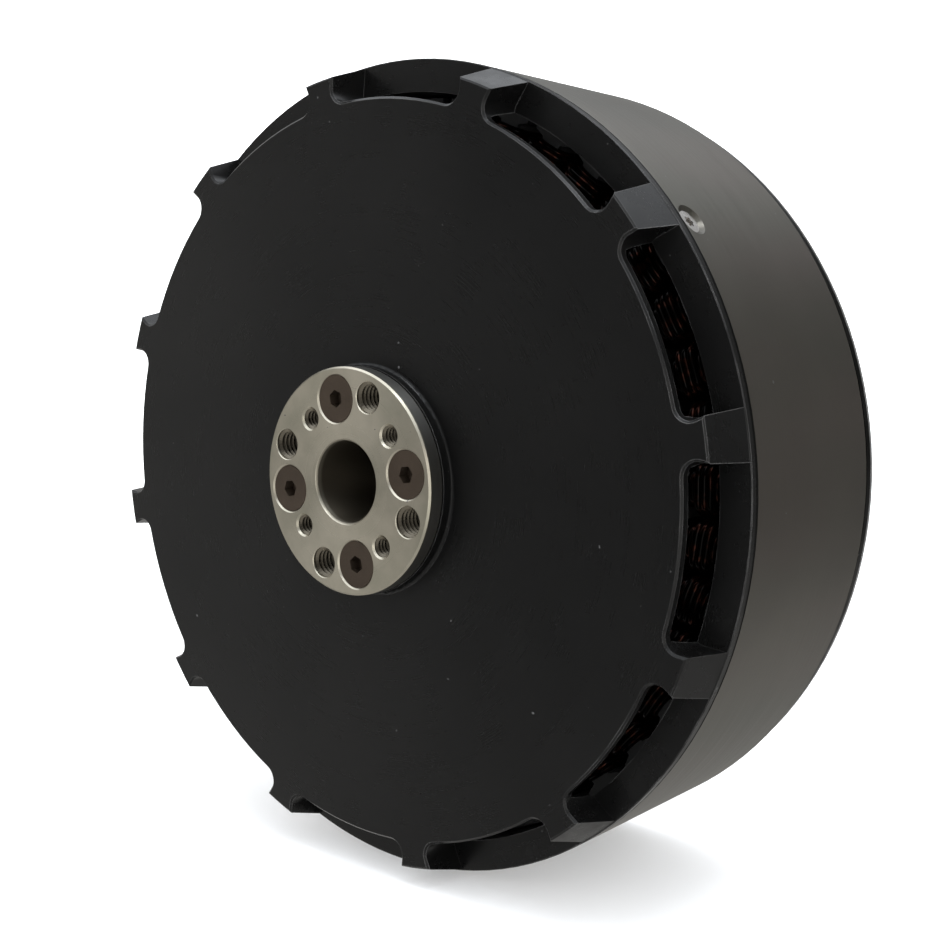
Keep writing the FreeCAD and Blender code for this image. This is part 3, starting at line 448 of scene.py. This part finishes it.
MATERIALS = {
    "black_anodised": black_anodised(),
    "brushed_ring": brushed_ring(),
    "hub_steel": hub_steel(),
    "black_oxide": black_oxide(),
    "stainless": bright_steel("stainless", 0.66, 0.04, 0.16, 0.30),
    "bearing_steel": bright_steel("bearing_steel", 0.62, 0.0, 0.08, 0.20),
    "magnet_plating": bright_steel("magnet_plating", 0.46, 0.02, 0.20, 0.36),
    "spring_steel": bright_steel("spring_steel", 0.14, 0.0, 0.30, 0.48),
    "shield_sheet": bright_steel("shield_sheet", 0.44, 0.0, 0.24, 0.40),
    "cage_plastic": moulded("cage_plastic", 0.09, 0.12, 0.50, 900.0),
    "lamination_steel": lamination_steel(),
    "insulator_plastic": moulded("insulator_plastic", 0.018, 0.0, 0.48, 700.0),
    "enamelled_copper": enamelled_copper(),
    "bare_aluminium": bare_aluminium(),
    "grommet_rubber": moulded("grommet_rubber", 0.022, 0.0, 0.62, 1300.0),
}


def paint_frame():
    """Give every CAD node the material of its slot."""
    for part in frame["record"]["subparts"]:
        item = frame["nodes"][part["node"]]
        item.data.materials.clear()
        item.data.materials.append(MATERIALS[part["material_slot"]])


# ---- meshes -----------------------------------------------------------------------

def new_piece(name, mesh, body, slot, finish=None, replaces=None):
    """Add a piece in the material of its slot, or in another finish of the same stuff."""
    piece = bpy.data.objects.new(name, mesh)
    scene.collection.objects.link(piece)
    mesh.materials.append(finish or MATERIALS[slot])
    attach(piece, body)
    if replaces:
        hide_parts(replaces)
    return piece


def about_shaft(angle):
    """A turn counter-clockwise as seen from the front, in degrees."""
    return Matrix.Rotation(-math.radians(angle), 4, "Y")


def sweep(bm, path, section):
    """Join the same cross-section drawn at each place of a path, and cap both ends.

    path holds (centre, first axis, second axis); section holds (first, second) offsets.
    """
    rings = [[bm.verts.new(centre + first * a + second * b) for a, b in section]
             for centre, first, second in path]
    count = len(section)
    for near, far in zip(rings, rings[1:]):
        for k in range(count):
            bm.faces.new((near[k], near[(k + 1) % count], far[(k + 1) % count], far[k]))
    bm.faces.new(list(reversed(rings[0])))
    bm.faces.new(rings[-1])


def round_section(radius, sides):
    return [(radius * math.cos(2 * math.pi * k / sides), radius * math.sin(2 * math.pi * k / sides))
            for k in range(sides)]


# ---- windings ---------------------------------------------------------------------

TEETH = 42
TOOTH_TURN = 1.6            # where the first tooth points, in degrees
TOOTH_WIDTH = 4.2 * MM
WIRE = 1.36 * MM
WIRE_GAP = 0.25 * MM        # between the tooth and its wire
NESTING = 0.87              # how far an outer layer rises over an inner one, in wires
CORNER = 1.9                # the wire's inner corner radius, in wires
TURNS_INNER = 7
TURNS_OUTER = 3
WIRE_SIDES = 7
CORNER_STEPS = 5


def rounded_loop(half_width, half_length, corner):
    """Points and outward directions round a rectangle with round corners, across x and y."""
    points = []
    for quarter, (sx, sy) in enumerate(((1, 1), (-1, 1), (-1, -1), (1, -1))):
        centre = Vector((sx * (half_width - corner), sy * (half_length - corner)))
        for step in range(CORNER_STEPS + 1):
            angle = math.radians(90 * (quarter + step / CORNER_STEPS))
            outward = Vector((math.cos(angle), math.sin(angle)))
            points.append((centre + outward * corner, outward))
    return points


def wind_layer(bm, start, pitch, turns, half_width, half_length, middle):
    """One layer of wire round the tooth that points along +X, from one radius to another."""
    loop = rounded_loop(half_width, half_length, min(half_width, CORNER * WIRE))
    path = []
    for step in range(turns * len(loop) + 1):
        flat, outward = loop[step % len(loop)]
        radius = start + pitch * step / len(loop)
        centre = Vector((radius, middle + flat.y, flat.x))
        path.append((centre, Vector((1, 0, 0)), Vector((0, outward.y, outward.x))))
    sweep(bm, path, round_section(WIRE / 2, WIRE_SIDES))


def wound_tooth():
    """The wire of one tooth: a full inner layer and a short outer one near the air gap."""
    inner, outer = radii("phase_u_coils")
    start, end = depths("stator_core")
    insulator = start - depths("front_insulator")[0]
    middle = (start + end) / 2
    width = TOOTH_WIDTH / 2 + WIRE_GAP + WIRE / 2
    length = (end - start) / 2 + insulator + WIRE / 2
    pitch = (outer - inner - WIRE) / TURNS_INNER
    rise = NESTING * WIRE
    bm = bmesh.new()
    wind_layer(bm, inner + WIRE / 2, pitch, TURNS_INNER, width, length, middle)
    wind_layer(bm, outer - WIRE - pitch * TURNS_OUTER, pitch, TURNS_OUTER,
               width + rise, length + rise, middle)
    return bm


def windings():
    """Replace each phase's solid coils by wound wire, two runs of seven teeth a phase."""
    run = TEETH // 6
    tooth = bpy.data.meshes.new("tooth_wire")
    bm = wound_tooth()
    bmesh.ops.recalc_face_normals(bm, faces=bm.faces)
    bm.to_mesh(tooth)
    bm.free()
    for phase, letter in enumerate("uvw"):
        joined = bmesh.new()
        for side in (0, TEETH // 2):
            for k in range(run):
                number = phase * run + side + k
                before = len(joined.verts)
                joined.from_mesh(tooth)
                joined.verts.ensure_lookup_table()
                turn = about_shaft(TOOTH_TURN + 360 * number / TEETH)
                bmesh.ops.transform(joined, matrix=turn, verts=joined.verts[before:])
        mesh = bpy.data.meshes.new(f"phase_{letter}_windings")
        joined.to_mesh(mesh)
        joined.free()
        mesh.polygons.foreach_set("use_smooth", [True] * len(mesh.polygons))
        new_piece(f"phase_{letter}_windings", mesh, "stator", "enamelled_copper",
                  replaces=f"phase_{letter}_coils")


# ---- threads ----------------------------------------------------------------------

THREAD_STEPS = 28           # for each turn
THREAD_BITE = 0.03 * MM     # how far the ridge is sunk into the hole's wall
THREAD_RISE = 0.54          # the ridge's height, in pitches
THREAD_ROOT = 0.42          # half its width at the root
THREAD_CREST = 0.06         # and at the crest
ROTOR_TURN = 8.6            # of the hub's hole pattern, in degrees
# Name, pitch, turn of the first hole in degrees, start behind the face and end behind the boss.
HUB_TAPS = (("large", 1.0 * MM, 60.0, 0.55 * MM, 6.6 * MM),
            ("small", 0.85 * MM, 30.0, 0.50 * MM, 4.6 * MM))


def thread(bm, place, radius, pitch, start, end):
    """A helical ridge that stands inwards from the wall of a tapped hole."""
    rise, root, crest = THREAD_RISE * pitch, THREAD_ROOT * pitch, THREAD_CREST * pitch
    section = [(THREAD_BITE, -root), (THREAD_BITE, root), (-rise, crest), (-rise, -crest)]
    steps = int((end - start) / pitch * THREAD_STEPS)
    path = []
    for step in range(steps + 1):
        angle = 2 * math.pi * step / THREAD_STEPS
        outward = Vector((math.cos(angle), 0, math.sin(angle)))
        along = Vector((0, start + pitch * step / THREAD_STEPS, 0))
        path.append((place + along + outward * radius, outward, Vector((0, 1, 0))))
    sweep(bm, path, section)


def hub_threads():
    """Give the hub's tapped holes their threads."""
    face = depths("output_hub")[0]
    boss = depths("front_bell")[0]
    tapped = tapped_steel()
    for name, pitch, first, sink, end in HUB_TAPS:
        dims = mount(f"hub_{name}_taps")["dims"]
        circle = dims["pcd_mm"] / 2 * MM
        radius = dims["hole_r_mm"] * MM
        bm = bmesh.new()
        for k in range(dims["count"]):
            turn = ROTOR_TURN + first + 360 / dims["count"] * k
            place = about_shaft(turn) @ Vector((circle, 0, 0))
            thread(bm, place, radius, pitch, face + sink, boss + end)
        bmesh.ops.recalc_face_normals(bm, faces=bm.faces)
        mesh = bpy.data.meshes.new(f"hub_{name}_threads")
        bm.to_mesh(mesh)
        bm.free()
        new_piece(f"hub_{name}_threads", mesh, "rotor", "hub_steel", finish=tapped)


# ---- camera, floor and lights -----------------------------------------------------

CAMERA_TURN = 38.39         # degrees round from the front of the shaft
CAMERA_RISE = 7.55          # degrees above level
CAMERA_PLACE = Vector((0.18721, -0.24376, 0.02885))
CAMERA_LENS = 51.84         # millimetres, as is the sensor's width
SENSOR = 36
CAMERA_SHIFT = (-0.064, 0.0426)
FLOOR_RADII = (0.05, 0.8, 1.6)
FLOOR_GAP = 0.2 * MM        # keeps the floor just clear of the lowest point
COVE = 0.8                  # radius of the curve between floor and wall
WALL_TOP = 2.2
FLOOR_SIDES = 96
BASE_LIGHT = 0.12           # from every direction
WARM_LIGHT = (1.0, 0.985, 0.95, 1)
COOL_LIGHT = (0.96, 1.0, 1.05, 1)


def camera():
    turn, rise = math.radians(CAMERA_TURN), math.radians(CAMERA_RISE)
    back = Vector((math.sin(turn) * math.cos(rise), -math.cos(turn) * math.cos(rise),
                   math.sin(rise)))
    data = bpy.data.cameras.new("camera")
    data.lens = CAMERA_LENS
    data.sensor_width = SENSOR
    data.shift_x, data.shift_y = CAMERA_SHIFT
    data.clip_start = 0.01
    item = bpy.data.objects.new("camera", data)
    scene.collection.objects.link(item)
    item.rotation_mode = "QUATERNION"
    item.location = CAMERA_PLACE
    item.rotation_quaternion = (-back).to_track_quat("-Z", "Y")
    scene.camera = item


def floor():
    """A pale floor that curves up far away, on every side, and glows as painted light, less near
    the motor.
    """
    base = cad_box[0].z - FLOOR_GAP
    profile = [(radius, 0.0) for radius in FLOOR_RADII]
    for angle in range(6, 91, 6):
        turn = math.radians(angle)
        profile.append((FLOOR_RADII[-1] + COVE * math.sin(turn), COVE - COVE * math.cos(turn)))
    profile.append((FLOOR_RADII[-1] + COVE, WALL_TOP))
    bm = bmesh.new()
    rings = [[bm.verts.new((across, along, base + height))
              for across, along in round_section(radius, FLOOR_SIDES)]
             for radius, height in profile]
    bm.faces.new(rings[0])
    for near, far in zip(rings, rings[1:]):
        for k in range(FLOOR_SIDES):
            following = (k + 1) % FLOOR_SIDES
            bm.faces.new((near[k], near[following], far[following], far[k]))
    bmesh.ops.recalc_face_normals(bm, faces=bm.faces)
    if rings[0][0].link_faces[0].normal.z < 0:
        bmesh.ops.reverse_faces(bm, faces=bm.faces)
    mesh = bpy.data.meshes.new("studio_floor")
    bm.to_mesh(mesh)
    bm.free()
    mesh.polygons.foreach_set("use_smooth", [True] * len(mesh.polygons))
    recipe = Recipe("glowing_floor")
    cloud = recipe.noise(3.0, 2.0)
    recipe.set(Base_Color=recipe.mix(cloud, grey(0.66), grey(0.70)), Roughness=0.9)
    # The floor glows as painted light: dimmer near the motor, brighter far off.
    away = recipe.math("SQRT", recipe.math("ADD", recipe.math("MULTIPLY", recipe.x, recipe.x),
                                           recipe.math("MULTIPLY", recipe.y, recipe.y)))
    recipe.set(Emission_Color=grey(1.0))
    recipe.set(Emission_Strength=recipe.span(away, 0.25, 1.5, 0.30, 0.85))
    mesh.materials.append(recipe.material)
    item = bpy.data.objects.new("studio_floor", mesh)
    scene.collection.objects.link(item)
    item.visible_glossy = False


def world_glow(tree, axis, low, high, amount):
    """Light that grows with one part of the direction, from low to high."""
    node = tree.nodes.new("ShaderNodeMapRange")
    node.interpolation_type = "SMOOTHSTEP"
    tree.links.new(axis, node.inputs["Value"])
    for key, value in (("From Min", low), ("From Max", high), ("To Min", 0.0), ("To Max", amount)):
        node.inputs[key].default_value = value
    return node.outputs["Result"]


def both_glows(tree, first, second):
    """Light only where two glows meet."""
    node = tree.nodes.new("ShaderNodeMath")
    node.operation = "MULTIPLY"
    tree.links.new(first, node.inputs[0])
    tree.links.new(second, node.inputs[1])
    return node.outputs[0]


def studio_glows(tree, x, y, z):
    """The studio's soft lights, by the direction they come from."""
    return [
        world_glow(tree, x, -0.45, -0.95, 0.60),                    # left wall
        world_glow(tree, x, 0.0, 0.6, 0.09),                        # right wall
        world_glow(tree, z, 0.41, 0.84, 1.75),                      # ceiling
        world_glow(tree, z, -0.10, -0.60, 0.42),                    # floor
        both_glows(tree, world_glow(tree, x, 0.55, 0.80, 2.2),      # softbox, front right
                   world_glow(tree, y, -0.35, -0.60, 1.0)),
        both_glows(tree, world_glow(tree, z, 0.88, 0.95, 8.0),      # softbox, overhead
                   world_glow(tree, x, 0.06, 0.18, 1.0)),
    ]


def lights():
    """A soft studio: a wide cool light overhead, a pale floor, and dimmer, warmer walls."""
    world = bpy.data.worlds.new("studio")
    world.use_nodes = True
    tree = world.node_tree
    place = tree.nodes.new("ShaderNodeTexCoord")
    parts = tree.nodes.new("ShaderNodeSeparateXYZ")
    tree.links.new(place.outputs["Generated"], parts.inputs[0])
    x, y, z = parts.outputs
    level = None
    for glow in studio_glows(tree, x, y, z):
        total = tree.nodes.new("ShaderNodeMath")
        total.inputs[1].default_value = BASE_LIGHT
        tree.links.new(glow, total.inputs[0])
        if level is not None:
            tree.links.new(level, total.inputs[1])
        level = total.outputs[0]
    background = tree.nodes["Background"]
    tint = tree.nodes.new("ShaderNodeMix")
    tint.data_type = "RGBA"
    tree.links.new(world_glow(tree, z, 0.25, 0.75, 1.0), tint.inputs["Factor"])
    tint.inputs[COLOUR_A].default_value = WARM_LIGHT
    tint.inputs[COLOUR_B].default_value = COOL_LIGHT
    tree.links.new(tint.outputs[COLOUR_OUT], background.inputs["Color"])
    tree.links.new(level, background.inputs["Strength"])
    scene.world = world
    scene.view_settings.view_transform = "Standard"


paint_frame()
windings()
hub_threads()
camera()
floor()
lights()
bpy.context.view_layer.update()
